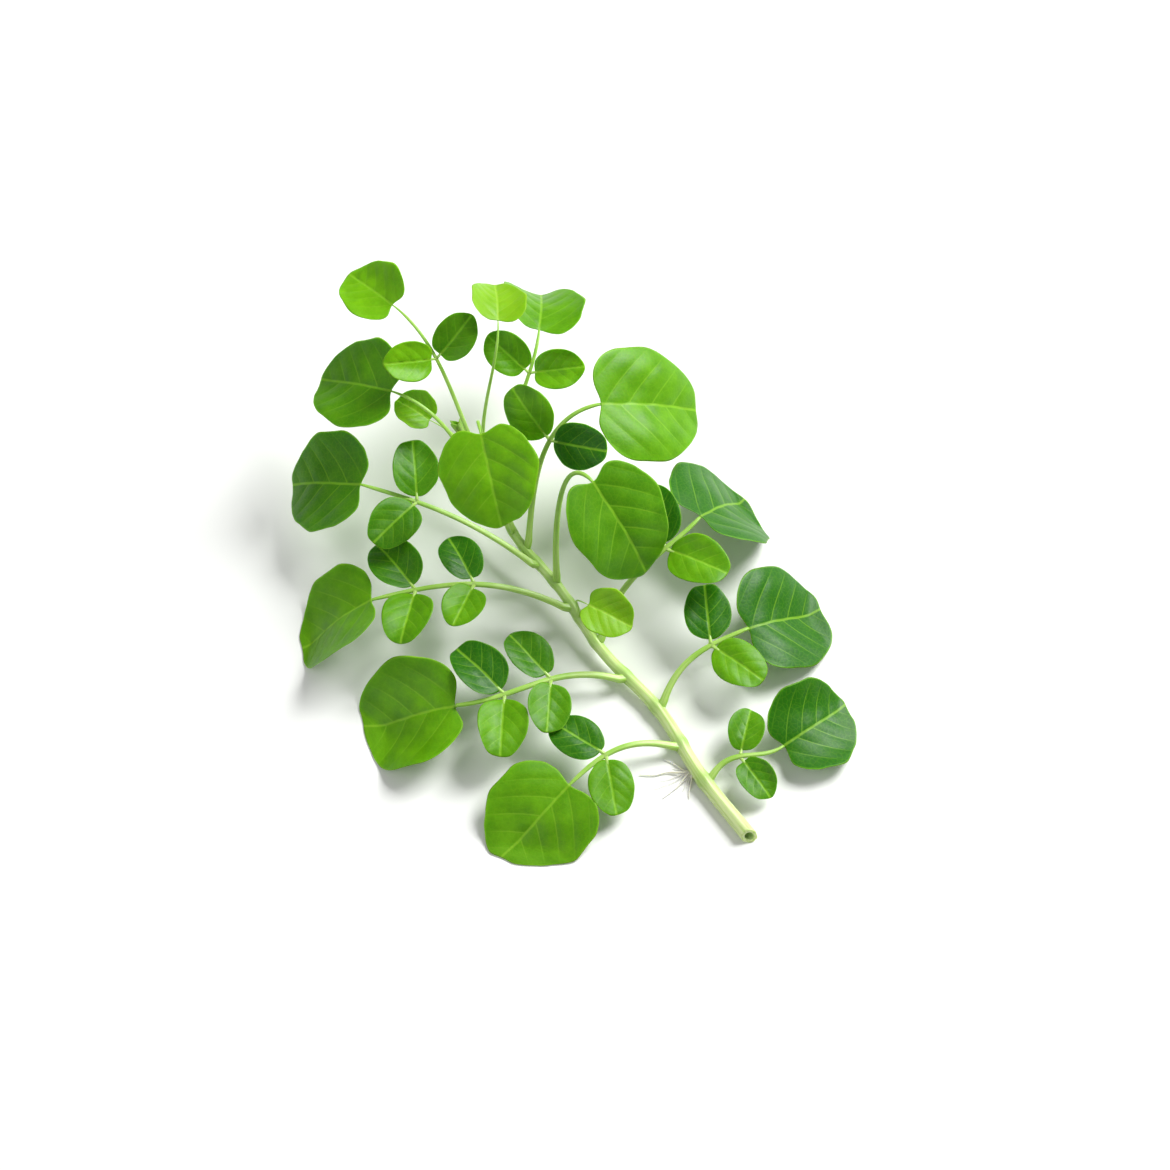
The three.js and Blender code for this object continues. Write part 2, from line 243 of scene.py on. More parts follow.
@dataclass(frozen=True)
class Shank:
    """A round stalk along a route."""

    route: Route  # its centreline
    radius: Callable[[Array], Array]  # gives its radius in millimetres at a share of the route
    groove: float = 0.0  # how deep the channel along its upper side is, as a share of the radius
    ridges: int = 6  # how many ridges run along it
    ridge_height: float = 0.0  # their height, as a share of the radius
    joints: tuple[float, ...] = ()  # the shares of the route where leaves join
    sides: int = 14  # faces round it
    pitch: float = 0.8  # the length of each face along it, in millimetres

    LOWEST = 0.02  # a stalk that lies flattens at this height in millimetres
    GROOVE_WIDTH = 0.5  # the groove's half width in radians
    JOINT_REACH = 2.2  # how far along from a joint its tinge reaches, in millimetres

    def surface(self, share: Array, angle: Array, radius: Array, ridged: Array | float = 1.0) -> Placed:
        """Places points round the route, and gives them the attributes that the stalk's finish reads.

        The angle is from the upper side, and ridged is how much of the ridges shows.
        """
        along = self.route.along(share)
        face = square_to(np.broadcast_to(UP, along.shape), along)
        left = np.cross(face, along)
        dent = self.groove * bump(np.angle(np.exp(1j * angle)), self.GROOVE_WIDTH)
        ridge = ridged * self.ridge_height * np.cos(self.ridges * angle)
        reach = (radius * (1 + ridge - dent))[:, None]
        spoke = face * np.cos(angle)[:, None] + left * np.sin(angle)[:, None]
        points = self.route.at(share) + spoke * reach
        points[:, 2] = np.maximum(points[:, 2], self.LOWEST)
        reached = share * self.route.length
        straight = np.stack([reached, radius * np.cos(angle), radius * np.sin(angle)], axis=-1)
        tinge = np.zeros(len(share))
        for joint in self.joints:
            tinge += bump(reached - joint * self.route.length, self.JOINT_REACH)
        return points, {"straight": straight, "joint": np.minimum(tinge, 1.0), "run": share}

    def patch(self) -> Patch:
        """Returns the whole stalk as one net, closed at both ends."""
        columns = max(6, round(self.route.length / self.pitch))

        def shape(x: Array, y: Array) -> Placed:
            """Rolls the net round the route."""
            share = (x + 1) / 2
            between_ends = np.abs(x) < 1 - NET_EDGE
            return self.surface(share, (y + 1) * pi, self.radius(share) * between_ends)

        return Patch(columns, self.sides, shape)


# ---------- finishes


def linear(hex_colour: str) -> tuple[float, float, float, float]:
    """Turns an sRGB hex colour into the linear colour that a shader takes."""
    channels = [int(hex_colour[i : i + 2], 16) / 255 for i in (1, 3, 5)]
    light = [c / 12.92 if c <= 0.04045 else ((c + 0.055) / 1.055) ** 2.4 for c in channels]
    return (*light, 1.0)


def add(tree: NodeTree, kind: str, inputs: Inputs | None = None, **settings: object) -> Node:
    """Adds one shader node of a kind, which leaves out the word ShaderNode, with its own settings.

    Each input, by its number or name, has a value, or the output or node that feeds it.
    """
    node = tree.nodes.new(f"ShaderNode{kind}")
    for key, value in settings.items():
        setattr(node, key, value)
    for key, value in (inputs or {}).items():
        if isinstance(value, Node):
            value = value.outputs[0]
        if isinstance(value, NodeSocket):
            tree.links.new(value, node.inputs[key])
        else:
            node.inputs[key].default_value = value
    return node


def blank_material(name: str) -> tuple[Material, Callable[..., Node]]:
    """Makes a material with no nodes, and returns it with the function that adds a node to it."""
    material = bpy.data.materials.new(name)
    material.use_nodes = True
    material.node_tree.nodes.clear()
    return material, partial(add, material.node_tree)


# Where inputs are numbered, a map range takes its value, the range that comes in and the range that goes
# out, and a colour mix takes its share at 0 and its colours at 6 and 7.
SMOOTH = {"interpolation_type": "SMOOTHSTEP"}  # makes a map range ease in and out


class Side(Enum):
    """Which face of a leaf a finish is for."""

    UPPER = "upper face"
    UNDER = "underside"


@dataclass(frozen=True)
class LeafFinish:
    """Living leaf blade: a thin waxy skin over soft green tissue, with a net of paler veins.

    The wax gives broad soft highlights, the tissue lets some light through, and the underside is paler
    and duller because air spaces lie behind its skin.
    """

    name: str  # the leaf's kind
    side: Side  # the face of the leaf
    deep: str  # the darkest green, between the veins
    bright: str  # the lightest green, between the veins
    vein: str  # the veins' colour
    rim: str  # the colour of the painted light that shines through the edge
    roughness: tuple[float, float] = (0.34, 0.48)  # of the skin
    net_mm: float = 1.25  # the spacing of the finest veins
    relief_mm: float = 0.06  # how far the skin puckers between them
    glow: float = 0.25  # how much light the tissue scatters

    def material(self) -> Material:
        """Builds the shader, which reads the blade, rim and tone attributes of its piece."""
        material, new = blank_material(f"watercress {self.name} leaf, {self.side.value}")
        blade = new("Attribute", attribute_name="blade").outputs["Vector"]
        rim = new("Attribute", attribute_name="rim").outputs["Fac"]
        tone = new("Attribute", attribute_name="tone").outputs["Fac"]
        place = new("SeparateXYZ", {0: blade}).outputs

        # The midrib is a millimetre wide, and the side veins lie where the third part is a whole number.
        across = new("Math", {0: place["Y"]}, operation="ABSOLUTE")
        midrib = new("MapRange", {0: across, 1: 0.16, 2: 0.5, 3: 1.0, 4: 0.0}, **SMOOTH)
        off_vein = new("Math", {0: place["Z"], 1: 0.5}, operation="PINGPONG")
        side_vein = new("MapRange", {0: off_vein, 1: 0.01, 2: 0.055, 3: 0.7, 4: 0.0}, **SMOOTH)
        fade = new("MapRange", {0: rim, 1: 0.55, 2: 0.95, 3: 1.0, 4: 0.25})
        side_vein = new("Math", {0: side_vein, 1: fade}, operation="MULTIPLY")
        main = new("Math", {0: midrib, 1: side_vein}, operation="MAXIMUM")

        # The finest veins close into a net, and the warp keeps it from looking ruled.
        flat = new("CombineXYZ", {0: place["X"], 1: place["Y"]})
        warp = new("TexNoise", {"Vector": flat, "Scale": 0.5, "Detail": 2.0}).outputs["Color"]
        bent = new("VectorMath", {0: flat, 1: warp}, operation="ADD")
        walls = {"voronoi_dimensions": "2D", "feature": "DISTANCE_TO_EDGE"}
        net = new("TexVoronoi", {"Vector": bent, "Scale": 1 / self.net_mm}, **walls).outputs["Distance"]
        fine = new("MapRange", {0: net, 1: 0.0, 2: 0.1, 3: 0.2, 4: 0.0}, **SMOOTH)
        veins = new("Math", {0: main, 1: fine}, operation="MAXIMUM")
        veined = new("Math", {0: veins, 1: 0.55}, operation="MULTIPLY")

        # Patches a few millimetres across where the tissue is fuller or thinner.
        cloudy = {"Scale": 0.16, "Detail": 4.0, "Roughness": 0.6}
        blotch = new("TexNoise", {"Vector": flat, **cloudy}).outputs["Fac"]
        fuller = new("MapRange", {0: blotch, 1: 0.32, 2: 0.68, 3: 0.2, 4: 0.8})
        fuller = new("Math", {0: fuller, 1: tone, 2: -0.25}, operation="MULTIPLY_ADD")
        fullness = new("Math", {0: fuller, 1: tone}, operation="ADD", use_clamp=True)

        # Painted light: a lighter band at the very edge stands in for light shining through the thin
        # margin.
        painted_rim_glow = new("MapRange", {0: rim, 1: 0.965, 2: 1.0, 3: 0.0, 4: 0.5})
        green: object = linear(self.deep)
        for share, colour in ((fullness, self.bright), (veined, self.vein), (painted_rim_glow, self.rim)):
            green = new("Mix", {0: share, 6: green, 7: linear(colour)}, data_type="RGBA").outputs[2]

        # The skin's cells, drawn about four times their real size so that they show as a faint grain.
        cells = new("TexVoronoi", {"Vector": flat, "Scale": 5.0}, voronoi_dimensions="2D")
        smoothest, dullest = self.roughness
        rough = new("MapRange", {0: blotch, 1: 0.3, 2: 0.7, 3: smoothest, 4: dullest})
        puckered = new("Math", {0: cells, 1: 0.25, 2: net}, operation="MULTIPLY_ADD")
        relief = new("Bump", {"Height": puckered, "Strength": 0.5, "Distance": self.relief_mm * MM})

        skin = new("BsdfPrincipled", {
            "Base Color": green,
            "Roughness": rough,
            "IOR": 1.45,
            "Specular IOR Level": 0.24,
            "Normal": relief,
            "Subsurface Weight": self.glow,
            "Subsurface Radius": (0.5, 1.0, 0.06),
            "Subsurface Scale": 0.9 * MM,
        })
        new("OutputMaterial", {0: skin})
        return material


@dataclass(frozen=True)
class StalkFinish:
    """Living stem or leaf stalk: a smooth waxy skin over pale, watery tissue.

    The wax gives a narrow highlight along it, and fine fibres show through as lengthwise streaks.
    """

    name: str  # the kind of stalk
    pale: str  # the colour between the fibres
    fibre: str  # the fibres' colour
    joint: str  # the colour where leaves join
    leafy: str  # the colour towards the upper end
    streak_mm: float = 0.5  # the spacing of the fibres round the stalk
    glow: float = 0.35  # how much light the tissue scatters

    def material(self) -> Material:
        """Builds the shader, which reads the straight, joint and run attributes of its piece."""
        material, new = blank_material(f"watercress {self.name}, waxy skin")
        straight = new("Attribute", attribute_name="straight").outputs["Vector"]
        joint = new("Attribute", attribute_name="joint").outputs["Fac"]
        run = new("Attribute", attribute_name="run").outputs["Fac"]

        # The fibres are drawn out along the stalk, and the green deepens in clouds towards its upper end.
        across = 1 / self.streak_mm
        drawn = new("Mapping", {"Vector": straight, "Scale": (0.07, across, across)})
        fibres = new("TexNoise", {"Vector": drawn, "Scale": 1.0, "Detail": 3.0}).outputs["Fac"]
        streak = new("MapRange", {0: fibres, 1: 0.4, 2: 0.66}, **SMOOTH)
        cloud = new("TexNoise", {"Vector": straight, "Scale": 0.22, "Detail": 3.0}).outputs["Fac"]
        greener = new("Math", {0: run, 1: cloud}, operation="MULTIPLY")
        greener = new("MapRange", {0: greener, 1: 0.1, 2: 0.5, 3: 0.0, 4: 0.9})
        tinge = new("Math", {0: joint, 1: 0.6}, operation="MULTIPLY")
        skin: object = linear(self.pale)
        for share, colour in ((streak, self.fibre), (greener, self.leafy), (tinge, self.joint)):
            skin = new("Mix", {0: share, 6: skin, 7: linear(colour)}, data_type="RGBA").outputs[2]

        wax = new("BsdfPrincipled", {
            "Base Color": skin,
            "Roughness": new("MapRange", {0: cloud, 1: 0.3, 2: 0.7, 3: 0.26, 4: 0.42}),
            "IOR": 1.42,
            "Normal": new("Bump", {"Height": fibres, "Strength": 0.4, "Distance": 0.1 * MM}),
            "Subsurface Weight": self.glow,
            "Subsurface Radius": (1.0, 1.2, 0.4),
            "Subsurface Scale": 1.0 * MM,
        })
        new("OutputMaterial", {0: wax})
        return material


@dataclass(frozen=True)
class PaperFinish:
    """Matt white studio paper: smooth pulp with a very faint tooth."""

    colour: str = "#F6F7F4"  # the paper's colour
    tooth_mm: float = 2.0  # the size of its grain

    def material(self) -> Material:
        """Builds the shader."""
        material, new = blank_material("white studio paper")
        place = new("TexCoord").outputs["Object"]
        tooth = new("TexNoise", {"Vector": place, "Scale": 1 / (self.tooth_mm * MM)}).outputs["Fac"]
        relief = new("Bump", {"Height": tooth, "Strength": 0.05, "Distance": 0.1 * MM})
        colour = linear(self.colour)
        paper = new("BsdfPrincipled", {"Base Color": colour, "Roughness": 0.85, "Normal": relief})
        new("OutputMaterial", {0: paper})
        return material


class LeafAge(Enum):
    """How old a leaf is: its end and side leaflets' slots, and how bright its green is."""

    GROWN = ("end_leaflet", "side_leaflet", 0.34)
    FRESH = ("end_leaflet", "side_leaflet", 0.56)
    YOUNG = ("young_leaf", "young_leaf", 0.66)


DULL = (0.5, 0.66)  # the roughness of an underside
GROWN_SKINS = (
    LeafFinish("grown", Side.UPPER, "#246400", "#74B200", "#8CBE2C", "#86C22E"),
    LeafFinish("grown", Side.UNDER, "#5E942A", "#84B444", "#A8CC74", "#92C24C", DULL, relief_mm=0.1),
)
YOUNG_SKINS = (
    LeafFinish("young", Side.UPPER, "#428400", "#78AA0C", "#9CC23E", "#90BC30", net_mm=0.9, glow=0.35),
    LeafFinish("young", Side.UNDER, "#70A234", "#92BA4E", "#B4D080", "#A0C45C", DULL, 0.9, 0.1, 0.35),
)
STEM_SKIN = StalkFinish("stem", "#D3E3A2", "#B9D47A", "#93BC55", "#9FC95A")
STALK_SKIN = StalkFinish("leaf stalk", "#B4D574", "#98C452", "#8ABB42", "#86B93C", streak_mm=0.35)
ROOT_SKIN = StalkFinish("rootlet", "#F0EFDF", "#DDDCBF", "#CBD6A4", "#F4F2E6", streak_mm=0.3)


# ---------- blades


@dataclass(frozen=True)
class Outline:
    """The outline that a kind of leaflet grows to."""

    ovate: float  # how much wider the stalk end is than the tip
    notch: float  # how deep the stalk is set in, as a share of the length
    lobing: float  # the height of the shallow lobes, as a share of the size
    lobes: int  # how many there are
    teeth: int  # how many blunt teeth the edge has
    wave: float  # how far the edge rises and falls, as a share of the length
    vein_pitch: float  # the spacing of the side veins, as a share of the length


END_OUTLINE = Outline(ovate=0.26, notch=0.1, lobing=0.019, lobes=7, teeth=11, wave=0.028, vein_pitch=0.2)
SIDE_OUTLINE = Outline(ovate=0.12, notch=0.02, lobing=0.015, lobes=5, teeth=7, wave=0.02, vein_pitch=0.24)


@dataclass(frozen=True)
class Blade:
    """One leaflet's blade."""

    length: float  # from its stalk to its tip in millimetres
    width: float  # at its widest
    outline: Outline  # the outline that it grows to
    fold: float  # how far its halves fold up along the midrib
    cup: float  # how far its edges curve up
    bend: float  # how far it curls down along its length, in degrees
    twist: float  # how far it turns about the midrib, in degrees
    base: Array  # where its stalk joins
    heading: Array  # the unit direction from there to the tip
    face: Array  # the unit direction that its upper face looks in
    tone: float  # how far its green is towards the bright end
    thickness: float = 0.28  # at the middle in millimetres
    fineness: int = 60  # faces along each direction

    NOTCH_WIDTH = 0.3  # the notch's half width, as a share of the blade's
    NOTCH_END = 0.4  # the share of the length where the notch ends
    FOLD_WIDTH = 0.2  # how far out the fold is rounded, as a share of the half width
    VEIN_START = 0.03  # the share of the length where the lowest side vein starts
    VEIN_STAGGER = 0.35  # how far left and right side veins are out of step, in spacings
    LIFT_OFF = 0.05  # how far over the surface its underside stays, in millimetres
    NEAR = 1e-3  # how far either way its slope is measured over, on the disc

    def middle(self, p: Array, q: Array) -> tuple[Array, Array, Array]:
        """Places points of the unit disc, p towards the tip and q to the left, on the middle surface.

        They come back in millimetres, with their shares of the length and of the half width.
        """
        # The outline: shallow lobes, blunt teeth of a height that differs between leaflets, and the notch.
        grown = self.outline
        reach, around = np.hypot(p, q), np.arctan2(q, p)
        waver = np.cos(grown.lobes * around + self.length) + 0.6 * np.cos(3 * around + 2 * self.length)
        height = 0.014 + 0.007 * sin(11 * self.length + 40 * self.tone)
        teeth = height * (0.5 + 0.5 * np.cos(grown.teeth * around + self.length)) ** 2
        lobe = 1 + grown.lobing * reach**2 * waver + reach**8 * teeth
        share = (1 + p * lobe) / 2
        notch = bump(q, self.NOTCH_WIDTH) * np.maximum(0, 1 - share / self.NOTCH_END) ** 2
        u = share + grown.notch * (notch - 1)
        v = q * lobe * (1 + grown.ovate * (0.5 - share))

        # The relief over it, which then turns about the midrib and curls down along the length.
        half = self.width / 2
        rise = half * (self.fold * (np.hypot(v, self.FOLD_WIDTH) - self.FOLD_WIDTH) + self.cup * v * v)
        ripple = grown.wave * self.length * reach**3 * np.sin(2 * around + self.length)
        turn = radians(self.twist) * u
        y, z = half * v, rise + ripple + self.veins(u, v, reach) + self.buckle(u, v)
        side = y * np.cos(turn) - z * np.sin(turn)
        out = y * np.sin(turn) + z * np.cos(turn)
        curl = radians(self.bend) * u
        spine = self.length / radians(self.bend)
        x = spine * np.sin(curl) + out * np.sin(curl)
        z = spine * (np.cos(curl) - 1) + out * np.cos(curl)
        left = unit(np.cross(self.face, self.heading))
        upper = np.cross(self.heading, left)
        points = self.base + x[:, None] * self.heading + side[:, None] * left + z[:, None] * upper
        points[:, 2] = ease_above(points[:, 2], self.thickness / 2 + self.LIFT_OFF)
        return points, u, v

    def vein_phase(self, u: Array, v: Array) -> Array:
        """Returns a measure that is a whole number on each side vein."""
        reach = np.abs(v)
        start = u - self.VEIN_START - 0.3 * reach - 0.14 * reach**2
        return start / self.outline.vein_pitch + np.where(v > 0, 0.0, self.VEIN_STAGGER)

    def veins(self, u: Array, v: Array, reach: Array) -> Array:
        """Returns the relief in millimetres: grooves along the veins, with fuller tissue between them."""
        phase = self.vein_phase(u, v)
        off_vein = np.abs(phase - np.round(phase))
        scale = self.length / 30
        groove = 0.2 * bump(v, 0.07) + 0.09 * bump(off_vein, 0.13) * (1 - bump(v, 0.05))
        fuller = 0.1 * np.sin(pi * off_vein) ** 2
        return scale * (fuller - groove) * np.clip(1.15 - reach**4, 0.15, 1)

    def buckle(self, u: Array, v: Array) -> Array:
        """Returns the slow rise and fall of the tissue in millimetres, different on each leaflet."""
        start = 2.3 * self.length + 9 * self.tone
        waves = np.sin(4.6 * u + 2.1 * v + start) * np.cos(3.4 * v - 1.7 * u + 2 * start)
        return 0.022 * self.length * waves * np.clip(3 * u, 0, 1)

    def face_patch(self, side: Side, material: int) -> Patch:
        """Returns one face of the blade as a net in a material slot. Both faces meet round the edge."""
        sign = 1.0 if side is Side.UPPER else -1.0

        def shape(x: Array, y: Array) -> Placed:
            """Rounds the net to a disc, and sets it half the thickness off the middle surface."""
            p, q = x * np.sqrt(1 - y**2 / 2), y * np.sqrt(1 - x**2 / 2)
            points, u, v = self.middle(p, q)
            near = self.NEAR
            lengthwise = self.middle(p + near, q)[0] - self.middle(p - near, q)[0]
            crosswise = self.middle(p, q + near)[0] - self.middle(p, q - near)[0]
            normal = unit(np.cross(lengthwise, crosswise))
            reach = np.minimum(np.hypot(p, q), 1.0)
            depth = self.thickness / 2 * np.sqrt(np.maximum(0, 1 - reach**8))
            points = points + sign * normal * depth[:, None]
            blade = np.stack([u * self.length, v * self.width / 2, self.vein_phase(u, v)], axis=-1)
            return points, {"blade": blade, "rim": reach, "tone": np.full(len(p), self.tone)}

        return Patch(self.fineness, self.fineness, shape, material, flip=side is Side.UNDER)

    def patches(self) -> list[Patch]:
        """Returns the blade's two faces."""
        return [self.face_patch(Side.UPPER, 0), self.face_patch(Side.UNDER, 1)]


# ---------- stem


STEM_KNOTS = [
    (58, -60, 1.9), (46, -43, 1.9), (36, -25, 2.1), (22, -9, 3.6),
    (11, 8, 6.0), (0, 21, 9.5), (-7, 35, 14.0), (-13, 44, 20.0),
]


@dataclass(frozen=True)
class Stem:
    """The hollow main stem, with a swelling at each node."""

    joints: tuple[float, ...]  # where leaves join, as shares of its length
    # its centreline, from the cut end to the growing tip
    route: Route = field(default_factory=lambda: Route.spline(STEM_KNOTS))
    cut_radius: float = 1.9  # its radius at the cut end in millimetres
    tip_radius: float = 0.9  # its radius at the growing tip
    bore_radius: float = 1.05  # the hollow's radius
    bore_depth: float = 9.0  # how far in the hollow runs
    slant: float = 32.0  # the cut's slant in degrees
    swelling: float = 0.16  # how much a node swells, as a share of the radius

    NODE_REACH = 1.6  # how far along from a node's middle the stem swells, in millimetres
    BORE_TINGE = 0.9  # how far the bore's wall takes the colour of the joints

    def radius(self, share: Array | float) -> Array:
        """Returns the plain radius at a share of the length, without the swellings."""
        return self.cut_radius + (self.tip_radius - self.cut_radius) * share

    def swollen(self, share: Array) -> Array:
        """Returns the radius at a share of the length, nodes included."""
        near = sum(bump((share - joint) * self.route.length, self.NODE_REACH) for joint in self.joints)
        return self.radius(share) * (1 + self.swelling * np.minimum(near, 1.0))

    def cut_face(self) -> tuple[Array, float]:
        """Returns the cut's unit normal, into the stem, and how far along the axis it crosses it."""
        along = Vector(self.route.along(0.0))
        upright = Vector((0, 0, 1)).rotation_difference(along)
        tilt = Quaternion((-1, 0, 0), radians(self.slant))
        normal = np.array(upright @ (tilt @ Vector((0, 0, 1))))
        return normal, self.cut_radius * tan(radians(self.slant))

    def profile(self) -> tuple[Array, Array, Array, Array]:
        """Lists the stations that the net passes, from the bore's floor over the rim and up to the tip.

        Each has its distance along the stem, its radius, how far it follows the cut's slant, and how much
        of the ridges shows there.
        """
        length, bore, cut = self.route.length, self.bore_radius, self.cut_radius
        inner = [(self.bore_depth, 0.0, 0.0, 0.0), (self.bore_depth - 0.3, bore * 0.8, 0.0, 0.0)]
        for d in np.linspace(self.bore_depth - 0.8, 0.5, 9):
            inner.append((d, bore, 1 - (d / self.bore_depth) ** 0.5, 0.0))
        rim = [
            (0.12, bore, 1.0, 0.0), (0.0, bore + 0.08, 1.0, 0.1), (-0.03, (bore + cut) / 2, 1.0, 0.5),
            (0.0, cut - 0.08, 1.0, 0.9), (0.12, cut, 1.0, 1.0),
        ]
        along = np.concatenate([np.linspace(0.5, 5, 9), np.arange(5.6, length - 0.2, 0.6)])
        outer = [(d, r, max(0.0, 1 - d / 5), 1.0) for d, r in zip(along, self.swollen(along / length))]
        tip = [(length, self.tip_radius, 0.0, 1.0), (length + 0.25, 0.0, 0.0, 1.0)]
        stations = np.array(inner + rim + outer + tip)
        return tuple(stations.T)

    def build(self, finish: Material) -> Object:
        """Builds the stem."""
        distance, radius, follow, ridged = self.profile()
        columns = len(distance) - 1
        normal, middle = self.cut_face()
        tube = Shank(self.route, self.swollen, ridges=6, ridge_height=0.045, joints=self.joints, sides=30)
        slope = np.dot(self.route.along(0.0), normal)

        def shape(x: Array, y: Array) -> Placed:
            """Runs the net through the stations, each leaning with the cut as far as it follows it."""
            station = np.rint((x + 1) / 2 * columns).astype(int)
            angle = (y + 1) * pi
            reach = radius[station]
            ring, _ = tube.surface(np.zeros(len(x)), angle, reach, ridged[station])
            lean = middle - (ring - self.route.at(0.0)) @ normal / slope
            place = distance[station] + follow[station] * lean
            share = place / self.route.length
            on_route = np.clip(share, 0, 1)
            points, fields = tube.surface(on_route, angle, reach, ridged[station])
            beyond = (share - on_route) * self.route.length
            points = points + beyond[:, None] * self.route.along(on_route)
            fields["joint"] = np.where(ridged[station] == 0, self.BORE_TINGE, fields["joint"])
            return points, fields

        return make_piece("stem_with_nodes", [Patch(columns, tube.sides, shape)], [finish])


# ---------- leaves


@dataclass(frozen=True)
class Leaf:
    """One pinnate leaf: its stalk, its end leaflet and its pairs of side leaflets."""

    at: float  # where it joins the stem, as a share of the stem's length
    to: tuple[float, float, float]  # where its stalk ends in millimetres
    size: tuple[float, float]  # its end leaflet's length and width
    # for each pair of side leaflets, its share of the stalk and its length
    pairs: tuple[tuple[float, float], ...]
    radius: float  # the stalk's radius where it starts
    turn: float  # how far the stalk's end swings to the left, in degrees
    nod: float  # how far the end leaflet dips below the stalk's end
    roll: float  # how far the leaf turns about its stalk
    # the end leaflet's, as its blade has them
    bend: float
    fold: float
    cup: float
    twist: float
    lift: float  # how far the side leaflets rise
    age: LeafAge = LeafAge.GROWN  # how old it is

    GAP = 0.3  # from the stem to the route's start, in millimetres
    FOOT_LEAN = 0.8  # how much further out it starts, as a share of the stalk's radius
    FOOT_ALONG = 0.55  # how far the stalk leaves along the stem
    FOOT_RISE = 0.3  # how far it leaves upwards
    START_REACH = 0.4  # how straight it leaves, as a share of its span
    END_REACH = 0.35  # how straight it arrives
    TAPER = 0.6  # its radius before the end leaflet, as a share of that at its foot
    FLARE = 0.3  # how far its foot widens
    FLARE_REACH = 3.4  # how far along it widens, in millimetres
    RIB_LENGTH = 9.0  # how much of it narrows under the end leaflet, in millimetres
    LARGE = 20.0  # an end leaflet longer than this has a finer net
    END_STALK = 0.5  # from the stalk's end to the end leaflet
    SIDE_STALK = 0.9  # from the stalk's skin to a side leaflet
    SIDE_RADIUS = 0.62  # a side leaflet's stalk's radius, as a share of the stalk's
    SIDE_WIDTH = 0.78  # a side leaflet's width, as a share of its length
    SIDE_FOLD, SIDE_BEND = 0.2, 22.0  # a side leaflet's fold and bend
    SPREAD = radians(66)  # between a side leaflet and the stalk

    def stalk_route(self, stem: Stem) -> Route:
        """Returns the stalk's centreline, which leaves the stem partly along it and arrives level."""
        foot, end = stem.route.at(self.at), np.array(self.to, float)
        span, toward = float(np.linalg.norm(end - foot)), unit(end - foot)
        stem_along = stem.route.along(self.at)
        first = unit(self.FOOT_ALONG * stem_along + toward + self.FOOT_RISE * UP)
        last = turned(unit(toward * (1, 1, 0)), UP, self.turn)
        clear = square_to(first, stem_along)
        start = foot + clear * (stem.radius(self.at) + self.GAP + self.radius * self.FOOT_LEAN)
        leave, arrive = start + first * self.START_REACH * span, end - last * self.END_REACH * span
        return Route.bezier(start, leave, arrive, end)

    def tone(self, place: float) -> float:
        """Returns how far a leaflet's green is towards the bright end, a little different on each."""
        return self.age.value[2] + 0.18 * sin(37 * self.at + 5 * place)

    def end_blade(self, route: Route) -> Blade:
        """Returns the end leaflet's blade."""
        heading = route.along(1.0)
        heading = turned(heading, np.cross(face_of(heading), heading), self.nod)
        base, face = route.at(1.0) + heading * self.END_STALK, face_of(heading, self.roll)
        return Blade(
            *self.size, END_OUTLINE, self.fold, self.cup, self.bend, self.twist, base, heading, face,
            self.tone(1.0), fineness=64 if self.size[0] > self.LARGE else 44,
        )

    def side_blade(self, route: Route, share: float, length: float, sign: int) -> Blade:
        """Returns a side leaflet's blade. Its sign is 1 on the left of the stalk and -1 on the right."""
        along = route.along(share)
        face = face_of(along, self.roll / 2)
        left = np.cross(face, along)
        outward = along * cos(self.SPREAD) + left * sign * sin(self.SPREAD)
        lift = radians(self.lift)
        outward = outward * cos(lift) + face * sin(lift)
        thick = self.radius * (1 + (self.TAPER - 1) * share)
        base = route.at(share) + outward * (thick + self.SIDE_STALK)
        return Blade(
            length, length * self.SIDE_WIDTH, SIDE_OUTLINE, self.SIDE_FOLD, self.cup, self.SIDE_BEND,
            sign * self.twist, base, outward, square_to(face, outward), self.tone(share + 0.3 * sign),
            fineness=38,
        )

    def stalk(self, stem: Stem, route: Route, blades: list[tuple[float, Blade]]) -> list[Patch]:
        """Returns the stalk's nets, with the short stalks of its side leaflets.

        Each blade comes with its share of the stalk, and the end leaflet's is last.
        """
        # It starts inside the stem, and runs on under the end leaflet as its midrib.
        _, end = blades[-1]
        under = np.array([-1.0, -0.88, -0.75, -0.6, -0.45])
        rib, _, _ = end.middle(under, np.zeros(5))
        left = unit(np.cross(end.face, end.heading))
        rib = rib - np.cross(end.heading, left) * np.linspace(0.3, 0.2, 5)[:, None]
        low = stem.route.at(self.at) - stem.route.along(self.at) * self.radius
        lead = low + (route.points[0] - low) * np.array([[0.0], [0.35], [0.7]])
        whole = Route.through(np.vstack([lead, route.points, rib]))
        body = 1 - self.RIB_LENGTH / whole.length

        def radius(share: Array) -> Array:
            """Widens the foot, narrows the length and thins out the end."""
            flare = 1 + self.FLARE * bump(share * whole.length, self.FLARE_REACH)
            taper = 1 + (self.TAPER - 1) * np.minimum(share / body, 1)
            ending = np.clip((1 - share) / (1 - body), 0.16, 1) ** 0.8
            return self.radius * flare * taper * ending

        shares = tuple(share * route.length / whole.length for share, _ in blades[:-1])
        nets = [Shank(whole, radius, groove=0.3, joints=(0.0, *shares), pitch=0.7).patch()]
        thin = tapering(self.radius * self.SIDE_RADIUS, 0.75)
        for share, blade in blades[:-1]:
            rib, _, _ = blade.middle(np.array([-1.0, -0.8, -0.5]), np.zeros(3))
            rib = rib - blade.face * np.array([[0.15], [0.22], [0.2]])
            path = Route.through(np.vstack([route.at(share), rib]))
            nets.append(Shank(path, thin, groove=0.2, sides=10, pitch=0.4).patch())
        return nets

